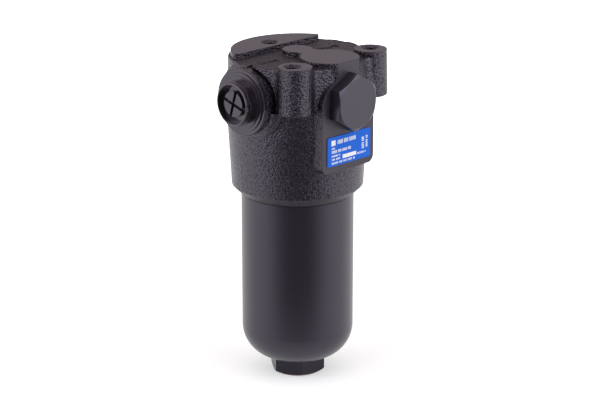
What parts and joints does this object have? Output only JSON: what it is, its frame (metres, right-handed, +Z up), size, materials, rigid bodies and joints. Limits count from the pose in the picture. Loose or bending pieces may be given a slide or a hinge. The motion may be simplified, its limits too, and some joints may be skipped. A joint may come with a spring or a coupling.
{
  "type": "in-line hydraulic filter housing",
  "caption": "Cast head with capped side ports, a front plug and a blue nameplate, over a deep screwed bowl that ends in a hex; element and bypass valve inside.",
  "frame": {"origin": "centre of the bottom face of the bowl's hex, on the bowl's axis", "axes": "+Z up the bowl's axis to the head's mounting face; the inlet port faces -X, the outlet port +X and the indicator port with the nameplate -Y"},
  "size_m": [0.107, 0.091, 0.2015],
  "materials": {
    "cast_head": "black painted casting with machined pads",
    "bowl_steel": "black phosphated, satin",
    "plug_steel": "black phosphated, matt",
    "cap_plastic": "glossy moulded polyethylene",
    "nameplate_blue": "blue printed, satin",
    "seal_rubber": "matt",
    "backup_plastic": "matt white",
    "element_steel": "zinc plated",
    "filter_media": "pleated fibre with mesh",
    "valve_steel": "turned steel"
  },
  "bodies": {
    "head": {"head": "cast_head", "indicator_plug": "plug_steel", "indicator_plug_seal": "seal_rubber", "indicator_nose_ring": "seal_rubber", "inlet_cap": "cap_plastic", "outlet_cap": "cap_plastic", "nameplate": "nameplate_blue", "element_top_cap": "element_steel", "element_bottom_cap": "element_steel", "element_core": "element_steel", "element_pleats": "filter_media", "element_o_ring": "seal_rubber", "bypass_body": "valve_steel", "bypass_guide": "valve_steel", "bypass_clip": "valve_steel"},
    "bowl_rings": {"bowl_o_ring": "seal_rubber", "bowl_backup_ring": "backup_plastic"},
    "bowl": {"bowl": "bowl_steel"},
    "bypass_poppet": {"bypass_poppet": "valve_steel", "bypass_spring": "valve_steel"}
  },
  "joints": [
    {"name": "bowl_advance", "type": "slide", "parent": "head", "child": "bowl_rings", "axis": [0, 0, -1], "range_m": [0, 0.018]},
    {"name": "bowl_turn", "type": "hinge", "parent": "bowl_rings", "child": "bowl", "pos_m": [0, 0, 0.12], "axis": [0, 0, -1], "range_deg": [0, 3240]},
    {"name": "bypass_lift", "type": "slide", "parent": "head", "child": "bypass_poppet", "axis": [0, 0, 1], "range_m": [0, 0.003], "stiffness_N_per_m": 8000, "springref_m": -0.005, "deforming": ["bypass_spring"]}
  ],
  "couplings": [
    {"joint": "bowl_advance", "follows": "bowl_turn", "m_per_rad": 0.00031831}
  ]
}
